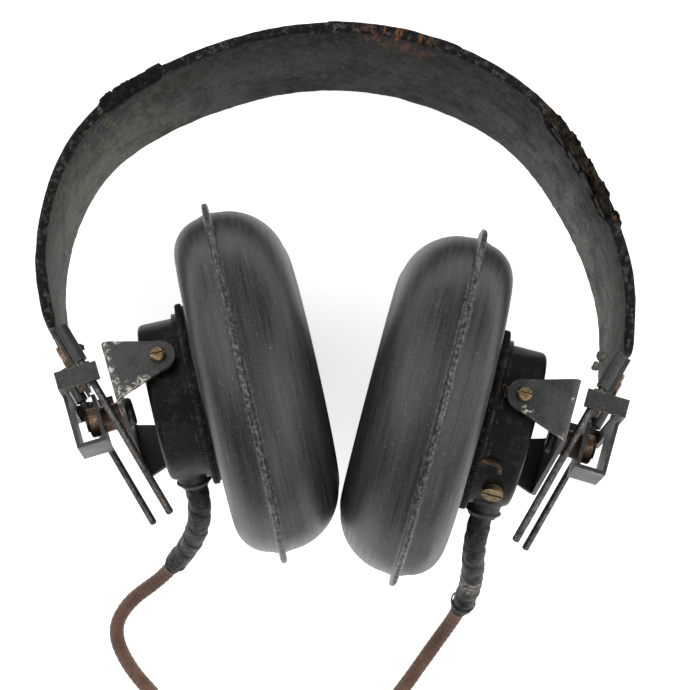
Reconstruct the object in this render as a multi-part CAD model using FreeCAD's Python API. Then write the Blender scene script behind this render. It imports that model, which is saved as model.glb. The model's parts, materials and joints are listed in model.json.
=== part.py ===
import FreeCAD, Part
import math
import os

from FreeCAD import Placement, Rotation, Vector

# Aviation headset: a leather-covered spring headband whose ends carry two steel rods each.  A bracket
# slides on each pair of rods and carries a fork on a swivel stud.  The fork holds a receiver capsule
# between two pivot screws, and a moulded rubber ear cushion grips the capsule's cap.  Millimetres.
#
# The headset lies on a table, cushions on edge and the crown's lower edge down.  +X is to its right,
# +Y towards the crown, +Z up; the origin is on the table, under the middle of the headset.

# ---- how it lies -------------------------------------------------------------------------------
BAND_TILT = 13.8            # the crown lies lower than the cushions by this angle
BAND_ROLL = 1.3             # and its left end higher than its right by this angle
BAND_Y = -28.0              # where the band's own axis v = 0 is, in the table's frame
BAND_Z = 50.45

# ---- headband ----------------------------------------------------------------------------------
BAND_WIDTH = 50.0
COVER_THICKNESS = 3.2
SPRING_WIDTH = 43.0
SPRING_THICKNESS = 0.8
SLEEVE_GAP = 0.1            # between the spring and the inside of its leather sleeve
# centre line of the band, left end to right end, seen along the band's width
BAND_LINE = [
    (-82.7, 13.2), (-86.6, 32.0), (-85.2, 52.0), (-79.4, 69.0), (-68.7, 83.3), (-51.0, 95.0),
    (-25.0, 105.4), (-2.0, 109.0), (21.0, 106.8), (44.0, 98.6), (61.5, 86.3), (74.0, 69.5),
    (83.2, 50.0), (88.3, 28.0), (87.1, 5.6),
]

# ---- rods and sliding brackets, in each side's rod frame ------------------------------------------
# X is inwards, towards the head, Y is up the rods towards the band, Z is across the band's width
ROD_LEAN = 31.0             # rods against the band's own axis
ROD_RADIUS = 1.1
ROD_SPREAD = 22.0           # rods stand this far each side of the middle
ROD_TWIST = 2.7             # front rod this far inwards, rear rod as far outwards
ROD_TOP = 18.6
FRONT_ROD_END = -46.0
REAR_ROD_END = -39.0
PLATE_LOW, PLATE_HIGH = 6.7, 18.6
PLATE_THICKNESS = 1.0
EYE_RADIUS = 2.0
EYE_CLEARANCE = 0.05        # running fit of the bracket's eyes on the rods
STRAP_LENGTH = 5.5          # along the rods
STRAP_THICKNESS = 1.2

# ---- bracket's own frame: X along the swivel stud, Y up, Z across; the rods pass it aslant --------
BRACKET_LEAN = 17.0
BRACKET_AT = 2.7            # its middle, up the rods
WEB_X = -6.8                # outer face of the bracket's web
PLATE_X = 1.2               # outer face of the plate that carries the stud
STRAP_END = 5.8
BRACKET_LOW = -18.5
BRACKET_HALF = 9.0
STUD_Y, STUD_Z = -10.4, 4.4
STUD_RADIUS = 2.5
STUD_CLEARANCE = 0.05
FORK_FACE_X = 8.8           # outer face of the fork's base

# ---- fork, in the fork's frame: X along the stud, inwards; Z along the pivot screws ---------------
FORK_REACH = 13.8           # base plate to pivot screws
FORK_THICKNESS = 1.2
FORK_HALF_HEIGHT = 28.6
FORK_BACK_HALF = 10.0
FORK_NOSE = 4.9
PIVOT_RADIUS = 1.6
PIVOT_CLEARANCE = 0.05

# ---- receiver capsule and cushion, in the cup's frame: X inwards along the cup's axis -------------
CASE_RADIUS = 24.0
CASE_BACK, CASE_FRONT = -5.4, 7.4
CASE_EDGE = 1.8             # rounding of the can's back edge
WALL = 1.5
SEAT_RADIUS = 2.6           # flat seat for each pivot screw's shoulder
CAP_INNER = 24.4
SKIRT_RADIUS = 25.2
FLANGE_RADIUS = 27.6
FLANGE_BACK, FLANGE_FRONT = 7.0, 9.0
CAP_RADIUS = 25.6           # the cap's front, which the cushion grips
CAP_FRONT = 10.3
CAP_PLATE = 1.2
GLAND_X = 1.0
CUP_REACH = 22.5            # pivot screws to the cushion's seam
CUSHION_RADIUS = 52.5
SEAM_RADIUS = 55.6
SEAM_THICKNESS = 2.0
CUSHION_BACK, CUSHION_FRONT = -12.0, 20.6
CUSHION_WEB = 5.0           # rubber in front of the cap
COLLAR_WALL = 1.4           # rubber collar round the cap's front
GRIP_CLEARANCE = 0.05
SOUND_HOLE_RADIUS = 21.0
EAR_RADIUS = 25.0

# ---- cord --------------------------------------------------------------------------------------
BRANCH_DIAMETER = 4.8
MAIN_DIAMETER = 6.0
TAPE_DIAMETER = 7.8
SPLIT_CENTRE = (-26.0, -193.0, 7.0)
SPLIT_LENGTH = 22.0
SPLIT_RADIUS = 6.5
COIL_CENTRE = (38.0, -186.0)
COIL_RADIUS = 33.0          # middle of the turns
COIL_HALF_WIDTH = 9.0
COIL_HEIGHT = 12.0
PLUG_REAR = (72.0, -231.0, 7.6)

# Each side is built left-handed; the right one is mirrored at the end.
SIDES = {
    "left": {
        "rods_at": (-73.0, -3.2),
        "fork_tilt": 28.0,      # pivot screws against the vertical
        "cup_yaw": 12.7,        # cup axis against +X, seen from above
        "gland_drop": 24.0,     # gland below the horizontal
        "screw_side": -1,       # clamp screw under the gland
        # gland mouth to splitter, on the table from the fifth point on
        "route": [
            (-43.5, -74.8, 29.0), (-48.0, -81.5, 15.5), (-56.5, -91.5, 5.0), (-68.0, -99.5, 2.6),
            (-73.0, -109.0, 2.5), (-68.5, -120.5, 2.5), (-58.5, -132.0, 2.5), (-46.5, -144.5, 2.5),
            (-35.5, -157.0, 2.5), (-29.4, -170.0, 3.8), (-29.0, -182.0, 6.5),
        ],
    },
    "right": {
        "rods_at": (-78.2, -11.5),
        "fork_tilt": 21.0,
        "cup_yaw": 14.6,
        "gland_drop": 15.0,
        "screw_side": 1,
        "route": [
            (-44.5, -85.5, 34.0), (-44.0, -95.0, 18.5), (-39.5, -105.5, 6.5), (-32.0, -116.5, 2.7),
            (-23.0, -129.5, 2.5), (-12.0, -142.0, 2.5), (1.5, -153.0, 2.5), (14.0, -162.0, 2.5),
            (22.3, -171.5, 3.8), (23.0, -182.0, 6.5),
        ],
    },
}

# Splitter to coil, and coil to plug.
MAIN_ROUTE = [
    (-26.0, -204.0, 7.0), (-25.5, -214.5, 5.0), (-19.0, -226.0, 3.2), (-6.0, -233.5, 3.1),
    (10.0, -234.0, 3.1), (22.5, -228.5, 3.1),
]
TAIL_ROUTE = [
    (46.0, -228.0, 8.8), (55.0, -230.2, 8.6), (63.5, -231.0, 8.0), (72.0, -231.0, 7.6),
]


# ---- small helpers -----------------------------------------------------------------------------
def box(x0, x1, y0, y1, z0, z1):
    return Part.makeBox(x1 - x0, y1 - y0, z1 - z0, Vector(x0, y0, z0))


def rod(radius, start, end):
    line = Vector(*end) - Vector(*start)
    return Part.makeCylinder(radius, line.Length, Vector(*start), line)


def ring(outer, inner, x0, x1):
    return rod(outer, (x0, 0, 0), (x1, 0, 0)).cut(rod(inner, (x0 - 1, 0, 0), (x1 + 1, 0, 0)))


def frame(origin, x_axis, y_axis, z_axis):
    turn = Rotation(Vector(*x_axis), Vector(*y_axis), Vector(*z_axis), "XZY")
    return Placement(Vector(*origin), turn)


def placed(shape, *placements):
    moved = shape.copy()
    for placement in placements:
        moved.Placement = placement.multiply(moved.Placement)
    return moved


def polygon_prism(points, z0, z1):
    corners = [Vector(x, y, z0) for x, y in points]
    face = Part.Face(Part.makePolygon(corners + corners[:1]))
    return face.extrude(Vector(0, 0, z1 - z0))


def turned(profile):
    """Turns a closed profile of (x, radius) edges round the X axis."""
    return Part.Face(Part.Wire(profile)).revolve(Vector(0, 0, 0), Vector(1, 0, 0), 360)


def rounded_route(points):
    """Straight runs joined by tangent arcs, and the radius of each arc."""
    corners = [Vector(*p) for p in points]
    edges, radii, start = [], [], corners[0]
    for before, corner, after in zip(corners, corners[1:], corners[2:]):
        back, ahead = before - corner, after - corner
        reach = 0.45 * min(back.Length, ahead.Length)
        half_turn = (math.pi - back.getAngle(ahead)) / 2
        enter = corner + back.normalize() * reach
        leave = corner + ahead.normalize() * reach
        radius = reach / math.tan(half_turn)
        inward = (back + ahead).normalize()
        middle = corner + inward * (radius / math.cos(half_turn) - radius)
        edges.append(Part.LineSegment(start, enter).toShape())
        edges.append(Part.Arc(enter, middle, leave).toShape())
        radii.append(radius)
        start = leave
    edges.append(Part.LineSegment(start, corners[-1]).toShape())
    return Part.Wire(edges), radii


def tube(name, points, diameter):
    path, radii = rounded_route(points)
    first = Vector(*points[0])
    heading = Vector(*points[1]) - first
    section = Part.Wire(Part.makeCircle(diameter / 2, first, heading))
    solid = path.makePipeShell([section], True, True)
    expected = math.pi * diameter ** 2 / 4 * path.Length
    print(name, "length %.1f" % path.Length, "volume ratio %.4f" % (solid.Volume / expected),
          "radii", ["%.1f" % r for r in radii])
    return solid


# ---- headband ----------------------------------------------------------------------------------
def head_frame(side):
    """The headband's frame in the table's frame; the right side is built as its mirror image."""
    roll = BAND_ROLL if side == "left" else -BAND_ROLL
    turn = Rotation(Vector(0, 1, 0), roll).multiply(Rotation(Vector(1, 0, 0), -BAND_TILT))
    return Placement(Vector(0, BAND_Y, BAND_Z), turn)


def band_frame(side):
    """The rod frame's axes and origin within the head frame, left-handed."""
    lean = math.radians(ROD_LEAN)
    inward = (math.cos(lean), math.sin(lean), 0)
    upward = (-math.sin(lean), math.cos(lean), 0)
    x, v = SIDES[side]["rods_at"]
    return frame((x, v, 0), inward, upward, (0, 0, 1))


def tab_end(side):
    """Where the bare spring ends, on the inner face of the end plate."""
    mirror = 1 if side == "left" else -1
    layer = (PLATE_THICKNESS + SPRING_THICKNESS) / 2
    points = [band_frame(side).multVec(Vector(layer, y, 0)) for y in (PLATE_HIGH - 2, PLATE_LOW + 1)]
    return [(mirror * p.x, p.y) for p in points]


def band_slab(points, half_thickness, half_width):
    """A strip that follows the points, with its faces parallel to them."""
    line = Part.BSplineCurve()
    line.interpolate([Vector(x, y, 0) for x, y in points])
    edges = []
    for offset in (half_thickness, -half_thickness):
        shifted = []
        for x, y in points:
            at = line.parameter(Vector(x, y, 0))
            direction = line.tangent(at)[0]
            shifted.append(Vector(x - direction.y * offset, y + direction.x * offset, -half_width))
        curve = Part.BSplineCurve()
        curve.interpolate(shifted)
        edges.append(curve.toShape())
    outer, inner = edges
    ends = [Part.LineSegment(outer.valueAt(e1), inner.valueAt(e2)).toShape()
            for e1, e2 in ((outer.FirstParameter, inner.FirstParameter),
                           (outer.LastParameter, inner.LastParameter))]
    face = Part.Face(Part.Wire(Part.__sortEdges__([outer, ends[1], inner, ends[0]])))
    return face.extrude(Vector(0, 0, 2 * half_width))


def headband():
    cavity = SPRING_THICKNESS / 2 + SLEEVE_GAP
    sleeve = band_slab(BAND_LINE, COVER_THICKNESS / 2, BAND_WIDTH / 2)
    edges = [e for e in sleeve.Edges if e.Length > 200]
    sleeve = sleeve.makeFillet(1.2, edges)
    whole = list(reversed(tab_end("left"))) + BAND_LINE + tab_end("right")
    sleeve = sleeve.cut(band_slab(whole, cavity, SPRING_WIDTH / 2 + SLEEVE_GAP))
    spring = band_slab(whole, SPRING_THICKNESS / 2, SPRING_WIDTH / 2)
    whole_frame = head_frame("left")
    return {"band_cover": placed(sleeve, whole_frame), "band_spring": placed(spring, whole_frame)}


# ---- one side's rods and end plate, in the rod frame -------------------------------------------
def rod_places():
    return [(ROD_TWIST, ROD_SPREAD, FRONT_ROD_END), (-ROD_TWIST, -ROD_SPREAD, REAR_ROD_END)]


def slide_rods():
    legs = []
    for x, z, low in rod_places():
        leg = rod(ROD_RADIUS, (x, low, z), (x, ROD_TOP, z))
        tip = [e for e in leg.Edges if abs(e.BoundBox.YMax - low) < 0.01 and e.Length > 1]
        legs.append(leg.makeFillet(0.7, tip))
    return Part.Compound(legs)


def end_plate():
    half = PLATE_THICKNESS / 2
    plate = box(-half, half, PLATE_LOW, PLATE_HIGH, -ROD_SPREAD, ROD_SPREAD)
    for x, z, _ in rod_places():
        plate = plate.fuse(rod(EYE_RADIUS, (x, PLATE_LOW, z), (x, PLATE_HIGH, z)))
    for x, z, _ in rod_places():
        plate = plate.cut(rod(ROD_RADIUS, (x, PLATE_LOW - 1, z), (x, PLATE_HIGH + 1, z)))
    for y, z in rivet_places():
        plate = plate.cut(rod(1.25, (-4, y, z), (4, y, z)))
    return plate.removeSplitter()


def rivet_places():
    low, high = PLATE_LOW + 3.6, PLATE_LOW + 8.6
    return [(low, 16.5), (low, -16.5), (high, 8.0), (high, -8.0)]


def rivets():
    heads = []
    outside = -PLATE_THICKNESS / 2
    inside = PLATE_THICKNESS / 2 + SPRING_THICKNESS
    for y, z in rivet_places():
        shank = rod(1.25, (outside - 1.4, y, z), (inside + 1.0, y, z))
        outer = rod(2.4, (outside - 1.4, y, z), (outside, y, z))
        inner = rod(2.0, (inside, y, z), (inside + 1.0, y, z))
        solid = shank.fuse([outer, inner]).removeSplitter()
        rims = [e for e in solid.Edges
                if e.BoundBox.XMax < outside - 1.3 or e.BoundBox.XMin > inside + 0.9]
        heads.append(solid.makeFillet(0.6, rims))
    return Part.Compound(heads)


# ---- sliding bracket and its swivel, in the bracket's frame ---------------------------------------
def bracket_frame():
    """The bracket's frame within the rod frame."""
    return Placement(Vector(0, BRACKET_AT, 0), Rotation(Vector(0, 0, 1), BRACKET_LEAN - ROD_LEAN))


def along_rods(radius, half_length):
    """A cylinder round each rod where it passes the bracket."""
    pieces = []
    for x, z, _ in rod_places():
        piece = rod(radius, (x, BRACKET_AT - half_length, z), (x, BRACKET_AT + half_length, z))
        pieces.append(placed(piece, bracket_frame().inverse()))
    return pieces


def slide_bracket():
    """Folded sheet: web, foot and plate make a clevis, and a strap with an eye runs over each rod."""
    thick, half = STRAP_THICKNESS, STRAP_LENGTH / 2
    low, high = STUD_Z - BRACKET_HALF, STUD_Z + BRACKET_HALF
    reach = ROD_SPREAD + 2.8
    web = box(WEB_X, WEB_X + thick, BRACKET_LOW, half + 3, low, high)
    corners = [e for e in web.Edges if e.BoundBox.XLength > 1 and e.BoundBox.YMin > half]
    cross = box(WEB_X, WEB_X + thick, -half, half, -reach, reach)
    foot = box(WEB_X, PLATE_X + thick, BRACKET_LOW, BRACKET_LOW + thick, low, high)
    plate = box(PLATE_X, PLATE_X + thick, BRACKET_LOW, -4.0, low, high)
    body = web.makeFillet(5, corners).fuse([cross, foot, plate])
    for side in (1, -1):
        inner, outer = sorted((side * (reach - thick), side * reach))
        body = body.fuse(box(WEB_X, STRAP_END, -half, half, inner, outer))
    body = body.fuse(along_rods(EYE_RADIUS, half))
    body = body.cut(along_rods(ROD_RADIUS + EYE_CLEARANCE, 8))
    body = body.cut(rod(STUD_RADIUS, (PLATE_X - 1, STUD_Y, STUD_Z), (PLATE_X + 4, STUD_Y, STUD_Z)))
    return body.removeSplitter()


def swivel_parts():
    """Stud, nut, spacer collar and toothed washer, with X = 0 on the outer face of the fork's base."""
    plate_front = PLATE_X + STRAP_THICKNESS - FORK_FACE_X
    plate_back = PLATE_X - FORK_FACE_X
    bore = rod(STUD_RADIUS, (-20, 0, 0), (20, 0, 0))
    collar = rod(4.0, (plate_front, 0, 0), (-0.8, 0, 0)).cut(bore)
    nut = rod(4.5, (plate_back - 3.4, 0, 0), (plate_back, 0, 0))
    nut = nut.makeFillet(1.0, [e for e in nut.Edges if e.BoundBox.XMax < plate_back - 3.3]).cut(bore)
    head_x = FORK_THICKNESS + 0.25
    stud = rod(STUD_RADIUS, (plate_back - 4.0, 0, 0), (head_x, 0, 0))
    head = rod(4.4, (head_x, 0, 0), (head_x + 1.8, 0, 0))
    head = head.makeFillet(1.2, [e for e in head.Edges if e.BoundBox.XMin > head_x + 1.7])
    return {"swivel_stud": stud.fuse(head).removeSplitter(), "swivel_collar": collar,
            "swivel_washer": toothed_washer().cut(bore), "swivel_nut": nut}


def toothed_washer():
    """A thin friction washer with small teeth round its rim."""
    disc = rod(6.6, (-0.8, 0, 0), (-0.2, 0, 0))
    for step in range(16):
        angle = 2 * math.pi * step / 16
        y, z = 6.9 * math.cos(angle), 6.9 * math.sin(angle)
        disc = disc.cut(rod(0.75, (-2, y, z), (2, y, z)))
    return disc


# ---- fork, in its own frame with the origin on the pivot screws ---------------------------------
def fork():
    back = -FORK_REACH - FORK_THICKNESS
    side = [(back, -FORK_BACK_HALF), (back, FORK_BACK_HALF), (0, FORK_NOSE), (0, -FORK_NOSE)]
    height = FORK_HALF_HEIGHT
    block = polygon_prism(side, -height, height)
    block = block.fuse(rod(FORK_NOSE, (0, 0, -height), (0, 0, height))).removeSplitter()
    bends = [e for e in block.Edges if e.BoundBox.XMax < back + 0.1 and e.BoundBox.ZLength < 0.1]
    block = block.makeFillet(2.4, bends)
    hollow = box(-FORK_REACH, 20, -20, 20, FORK_THICKNESS - height, height - FORK_THICKNESS)
    bends = [e for e in hollow.Edges
             if e.BoundBox.XMax < -FORK_REACH + 0.1 and e.BoundBox.ZLength < 0.1]
    shape = block.cut(hollow.makeFillet(1.2, bends))
    shape = shape.cut(rod(PIVOT_RADIUS + PIVOT_CLEARANCE, (0, 0, -40), (0, 0, 40)))
    return shape.cut(rod(STUD_RADIUS + STUD_CLEARANCE, (back - 1, 0, 0), (1 - FORK_REACH, 0, 0)))


# ---- capsule, in the cup's frame with the origin on the pivot screws -----------------------------
def pivot_screws():
    screws = []
    inner_face = FORK_HALF_HEIGHT - FORK_THICKNESS
    for side in (1, -1):
        shank = rod(PIVOT_RADIUS, (0, 0, side * 21.0), (0, 0, side * (FORK_HALF_HEIGHT + 0.2)))
        shoulder = rod(2.6, (0, 0, side * (CASE_RADIUS - 0.2)), (0, 0, side * (inner_face - 0.3)))
        head = rod(2.3, (0, 0, side * (FORK_HALF_HEIGHT + 0.2)), (0, 0, side * (FORK_HALF_HEIGHT + 1.8)))
        rim = [e for e in head.Edges if abs(e.BoundBox.Center.z) > FORK_HALF_HEIGHT + 1.7
               and e.BoundBox.ZLength < 0.01]
        head = head.makeFillet(0.9, rim)
        slot = box(-3, 3, -0.3, 0.3, *sorted((side * (FORK_HALF_HEIGHT + 1.2), side * 40)))
        screws.append(shank.fuse([shoulder, head.cut(slot)]).removeSplitter())
    return Part.Compound(screws)


def capsule_case(gland_axis):
    """Deep-drawn can, open to the front, with a boss and a flat seat for each pivot screw."""
    shell = rod(CASE_RADIUS, (CASE_BACK, 0, 0), (CASE_FRONT, 0, 0))
    shell = shell.makeFillet(CASE_EDGE, [e for e in shell.Edges if e.BoundBox.XMax < CASE_BACK + 0.1])
    shell = shell.cut(rod(CASE_RADIUS - WALL, (CASE_BACK + WALL, 0, 0), (CASE_FRONT + 5, 0, 0)))
    seat = CASE_RADIUS - 0.2
    for side in (1, -1):
        shell = shell.fuse(rod(SEAT_RADIUS + 0.6, (0, 0, side * 20.5), (0, 0, side * (seat - 0.4))))
        shell = shell.cut(rod(SEAT_RADIUS, (0, 0, side * seat), (0, 0, side * 30)))
        shell = shell.cut(rod(PIVOT_RADIUS, (0, 0, side * 20), (0, 0, side * 30)))
    centre = Vector(GLAND_X, 0, 0)
    hole = Part.makeCylinder(3.4, 12, centre + gland_axis * (CASE_RADIUS - 6), gland_axis)
    return shell.cut(hole)


def case_tongue():
    """Thin pointed tongue held flat against the back of the can, reaching past its rim."""
    out, across = Vector(0, 0.91, -0.415), Vector(0, 0.415, 0.91)
    corners = [out * 15.0 + across * 3.0, out * 30.5, out * 15.0 - across * 3.0]
    corners = [c + Vector(CASE_BACK - 0.8, 0, 0) for c in corners]
    return Part.Face(Part.makePolygon(corners + corners[:1])).extrude(Vector(0.8, 0, 0))


def capsule_cap():
    """Screw-on cap: a short skirt over the can, a thin flange and a front plate with sound holes."""
    cap = ring(FLANGE_RADIUS, CAP_INNER, FLANGE_BACK, FLANGE_FRONT)
    skirt = ring(SKIRT_RADIUS, CAP_INNER, FLANGE_BACK - 1.6, FLANGE_BACK)
    neck = ring(CAP_RADIUS, CAP_INNER, FLANGE_FRONT, CAP_FRONT)
    plate = ring(CAP_RADIUS, 3.0, CAP_FRONT - CAP_PLATE, CAP_FRONT)
    cap = cap.fuse([skirt, neck, plate]).removeSplitter()
    cuts = []
    for step in range(6):
        angle = math.pi * step / 3
        y, z = 9 * math.cos(angle), 9 * math.sin(angle)
        cuts.append(rod(1.6, (CAP_FRONT - 3, y, z), (CAP_FRONT + 1, y, z)))
    return cap.cut(cuts)


def capsule_inside():
    """What makes the sound: a ring magnet, two pole pieces in their coils, and the diaphragm."""
    back = CASE_BACK + WALL
    magnet = ring(18.5, 11.5, back, back + 4.0)
    poles, coils = [], []
    for side in (1, -1):
        poles.append(box(back, 7.2, side * 4 - 1.5, side * 4 + 1.5, -4.5, 4.5))
        winding = box(back + 1.5, 6.2, side * 4 - 3.2, side * 4 + 3.2, -6.4, 6.4)
        coils.append(winding.cut(poles[-1]))
    diaphragm = rod(CAP_INNER - 0.3, (CASE_FRONT, 0, 0), (CASE_FRONT + 0.4, 0, 0))
    return {"magnet": magnet, "pole_pieces": Part.Compound(poles),
            "coils": Part.Compound(coils), "diaphragm": diaphragm}


def ear_cushion():
    """Moulded rubber ring, deeper on the ear's side, with the flash of its mould standing as a seam."""
    back, front, outer = CUSHION_BACK, CUSHION_FRONT, CUSHION_RADIUS
    half = SEAM_THICKNESS / 2
    seat = CAP_FRONT - CUP_REACH
    grip = CAP_RADIUS + GRIP_CLEARANCE
    collar = FLANGE_FRONT + 0.1 - CUP_REACH
    web = seat + CUSHION_WEB
    # (x, radius) corners in order; an arc names the point it passes through
    profile = [
        (collar, grip), (collar, grip + COLLAR_WALL), (back, grip + COLLAR_WALL), (back, 41.0),
        ("arc", -9.8, 49.2), (-4.0, outer - 1.0), (-half, outer), (-half, SEAM_RADIUS),
        (half, SEAM_RADIUS), (half, outer), (6.0, outer - 0.5), ("arc", 15.2, 47.4), (front, 38.0),
        ("arc", front - 0.2, 28.6), (front - 3.0, EAR_RADIUS), (web, EAR_RADIUS),
        (web, SOUND_HOLE_RADIUS), (seat, SOUND_HOLE_RADIUS), (seat, grip), (collar, grip),
    ]
    edges, start, through = [], None, None
    for point in profile:
        if point[0] == "arc":
            through = Vector(point[1], point[2], 0)
            continue
        end = Vector(point[0], point[1], 0)
        if through:
            edges.append(Part.Arc(start, through, end).toShape())
        elif start:
            edges.append(Part.LineSegment(start, end).toShape())
        start, through = end, None
    return turned(edges)


def cord_gland(axis):
    """Bush screwed into the case, with a collar outside it."""
    centre = Vector(GLAND_X, 0, 0)
    bush = Part.makeCylinder(3.4, 8.0, centre + axis * (CASE_RADIUS - 3.0), axis)
    collar = Part.makeCylinder(5.0, 2.4, centre + axis * (CASE_RADIUS + 1.0), axis)
    return bush.fuse(collar).removeSplitter()


def clamp_screw(axis, screw_side):
    """Slotted screw in the side of the case, beside the gland, that holds the cord's anchor."""
    across = Vector(1, 0, 0).cross(axis)
    if across.z * screw_side < 0:
        across = across * -1
    out = (axis * 0.62 + across * 0.78).normalize()
    start = Vector(GLAND_X, 0, 0) + out * (CASE_RADIUS - 0.1)
    head = Part.makeCylinder(3.2, 1.9, start, out)
    slot = Part.makeBox(8, 0.8, 1.0, Vector(-4, -0.4, 0))
    slot.Placement = Placement(start + out * 1.2, Rotation(Vector(0, 0, 1), out))
    shank = Part.makeCylinder(1.4, 2.6, start - out * 2.4, out)
    return head.cut(slot).fuse(shank).removeSplitter()


# ---- putting one side together -----------------------------------------------------------------
def side_frames(side):
    """Rod, bracket, stud, fork and cup frames of a left-handed side in the table's frame."""
    spec = SIDES[side]
    rods = head_frame(side).multiply(band_frame(side))
    bracket = rods.multiply(bracket_frame())
    along = bracket.Rotation.multVec(Vector(1, 0, 0))
    level = Vector(0, 0, 1).cross(along).normalize()
    tilt = math.radians(spec["fork_tilt"])
    pivot = level * math.sin(tilt) + along.cross(level) * math.cos(tilt)
    across = pivot.cross(along)
    stud_at = bracket.multVec(Vector(FORK_FACE_X, STUD_Y, STUD_Z))
    stud = frame(stud_at, along, across, pivot)
    fork_frame = frame(stud_at + along * (FORK_REACH + FORK_THICKNESS), along, across, pivot)
    yaw = math.tan(math.radians(spec["cup_yaw"]))
    swing = math.atan2(yaw * along.x - along.y, across.y - yaw * across.x)
    cup = fork_frame.multiply(Placement(Vector(), Rotation(Vector(0, 0, 1), math.degrees(swing))))
    return rods, bracket, stud, fork_frame, cup


def gland_direction(side, cup_frame):
    """Outwards from the case, below the horizontal, in the cup's frame and in the table's frame."""
    drop = math.radians(SIDES[side]["gland_drop"])
    axis = cup_frame.Rotation.multVec(Vector(1, 0, 0))
    level = Vector(0, 0, 1).cross(axis).normalize() * -1
    down = axis.cross(level).normalize()
    if down.z > 0:
        down = down * -1
    world = level * math.cos(drop) + down * math.sin(drop)
    return cup_frame.Rotation.inverted().multVec(world), world


def cord_points(side, cup_frame, world_axis):
    """Route from the gland's mouth: straight out of it first, then the laid points."""
    mouth = cup_frame.multVec(Vector(GLAND_X, 0, 0)) + world_axis * (CASE_RADIUS + 5.0)
    out = mouth + world_axis * 10.0
    return [tuple(mouth), tuple(out)] + SIDES[side]["route"]


def split_route(points, after):
    """Cuts a route in the middle of the run that follows point number after."""
    a, b = Vector(*points[after]), Vector(*points[after + 1])
    middle = tuple((a + b) * 0.5)
    return points[:after + 1] + [middle], [middle] + points[after + 1:]


def build_side(side):
    rods, bracket, stud, fork_frame, cup_frame = side_frames(side)
    gland_axis, world_axis = gland_direction(side, cup_frame)
    nodes = {
        "slide_rods": placed(slide_rods(), rods),
        "end_plate": placed(end_plate(), rods),
        "band_rivets": placed(rivets(), rods),
        "slide_bracket": placed(slide_bracket(), bracket),
        "fork": placed(fork(), fork_frame),
        "pivot_screws": placed(pivot_screws(), cup_frame),
        "capsule_case": placed(capsule_case(gland_axis), cup_frame),
        "capsule_cap": placed(capsule_cap(), cup_frame),
        "ear_cushion": placed(ear_cushion(), Placement(Vector(CUP_REACH, 0, 0), Rotation()), cup_frame),
        "cord_gland": placed(cord_gland(gland_axis), cup_frame),
        "clamp_screw": placed(clamp_screw(gland_axis, SIDES[side]["screw_side"]), cup_frame),
    }
    if side == "right":
        nodes["case_tongue"] = placed(case_tongue(), cup_frame)
    for name, shape in swivel_parts().items():
        nodes[name] = placed(shape, stud)
    for name, shape in capsule_inside().items():
        nodes[name] = placed(shape, cup_frame)
    route = cord_points(side, cup_frame, world_axis)
    taped, bare = split_route(route, 3)
    nodes["cord_tape"] = tube("tape " + side, taped, TAPE_DIAMETER)
    nodes["cord_branch"] = tube("branch " + side, bare, BRANCH_DIAMETER)
    report_frames(side, rods, stud, fork_frame, cup_frame, route)
    if side == "right":
        nodes = {n: s.mirror(Vector(0, 0, 0), Vector(1, 0, 0)) for n, s in nodes.items()}
    return {n + "_" + side: s for n, s in nodes.items()}


def report_frames(side, rods, stud, fork_frame, cup_frame, route):
    """Prints the joint axes of the side, in the table's frame."""
    flip = Vector(1, 1, 1) if side == "left" else Vector(-1, 1, 1)

    def shown(vector):
        return [round(vector.x * flip.x, 4), round(vector.y, 4), round(vector.z, 4)]

    print(side, "slide axis", shown(rods.Rotation.multVec(Vector(0, -1, 0))))
    print(side, "swivel at", shown(stud.Base), "axis", shown(stud.Rotation.multVec(Vector(1, 0, 0))))
    print(side, "pivot at", shown(fork_frame.Base), "axis",
          shown(fork_frame.Rotation.multVec(Vector(0, 0, 1))))
    print(side, "cup axis", shown(cup_frame.Rotation.multVec(Vector(1, 0, 0))), "seam centre",
          shown(cup_frame.multVec(Vector(CUP_REACH, 0, 0))))
    print(side, "route", [shown(Vector(*p)) for p in route])


# ---- shared cord: splitter, main cord, coil and plug ----------------------------------------------
def cord_splitter():
    x, y, z = SPLIT_CENTRE
    half = SPLIT_LENGTH / 2
    body = rod(SPLIT_RADIUS, (x, y + half, z), (x, y - half, z))
    return body.makeFillet(1.2, [e for e in body.Edges if e.Length > 20 and e.BoundBox.YLength < 0.01])


def cord_coil():
    x, y = COIL_CENTRE
    inner, outer = COIL_RADIUS - COIL_HALF_WIDTH, COIL_RADIUS + COIL_HALF_WIDTH
    ring_solid = Part.makeCylinder(outer, COIL_HEIGHT, Vector(x, y, 0))
    ring_solid = ring_solid.cut(Part.makeCylinder(inner, COIL_HEIGHT + 2, Vector(x, y, -1)))
    rims = [e for e in ring_solid.Edges if e.BoundBox.ZLength < 0.01]
    return ring_solid.makeFillet(2.8, rims)


def plug():
    x, y, z = PLUG_REAR
    shell = rod(7.5, (x, y, z), (x + 27, y, z))
    shell = shell.makeFillet(2.0, [e for e in shell.Edges if e.BoundBox.XLength < 0.01])
    sleeve = rod(3.15, (x + 27, y, z), (x + 46, y, z))
    band = rod(2.6, (x + 46, y, z), (x + 47, y, z))
    tip = Part.makeCone(3.15, 1.0, 6, Vector(x + 47, y, z), Vector(1, 0, 0))
    return {"plug_shell": shell, "plug_sleeve": sleeve, "plug_insulator": band, "plug_tip": tip}


def build():
    nodes = headband()
    for side in SIDES:
        nodes.update(build_side(side))
    nodes["cord_splitter"] = cord_splitter()
    nodes["cord_main"] = tube("main", MAIN_ROUTE, MAIN_DIAMETER)
    nodes["cord_tail"] = tube("tail", TAIL_ROUTE, MAIN_DIAMETER)
    nodes["cord_coil"] = cord_coil()
    nodes.update(plug())
    return nodes


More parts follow.
